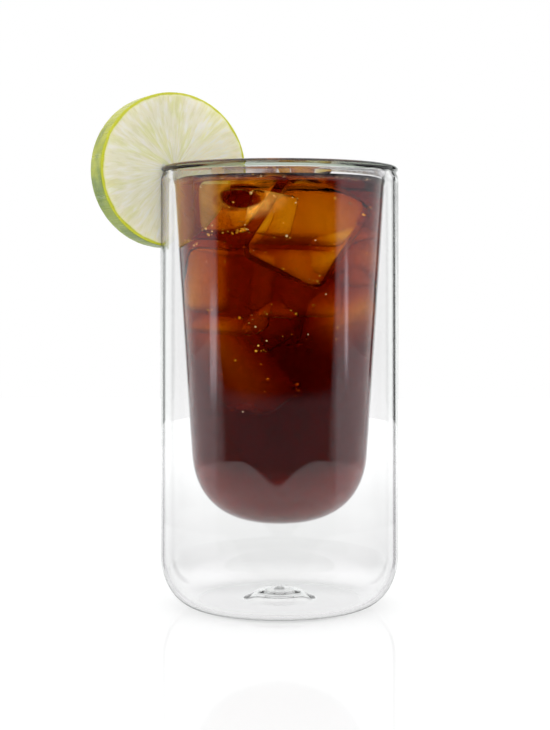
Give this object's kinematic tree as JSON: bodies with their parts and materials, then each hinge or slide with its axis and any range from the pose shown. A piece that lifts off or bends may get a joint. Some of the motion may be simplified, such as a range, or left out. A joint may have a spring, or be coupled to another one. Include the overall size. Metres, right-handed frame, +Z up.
{
  "type": "cuba libre in a double-walled glass",
  "caption": "Long drink of rum and cola over ice in a straight double-walled glass, with a thick lime slice slit onto its rim.",
  "frame": {"origin": "Centre of the bounding box's underside, on the plane the glass stands on. The slice reaches out to one side, so the glass's own axis is 10.8 mm along +X.", "axes": "+Z up along the glass's axis; +X to the side away from the lime slice; the broad face of the slice looks mostly towards -Y."},
  "size_m": [0.0966, 0.075, 0.1611],
  "materials": {
    "clear_glass": "clear polished borosilicate glass",
    "clear_seal": "clear glossy seal",
    "cola": "clear dark brown liquid, amber where thin",
    "ice": "clear wet ice with small bubbles",
    "lime": "wet pale flesh with a green waxy rind"
  },
  "bodies": {
    "root": {"glass": "clear_glass", "base_seal": "clear_seal", "drink": "cola", "ice_1": "ice", "ice_2": "ice", "ice_3": "ice", "lime_slice": "lime"}
  },
  "joints": []
}
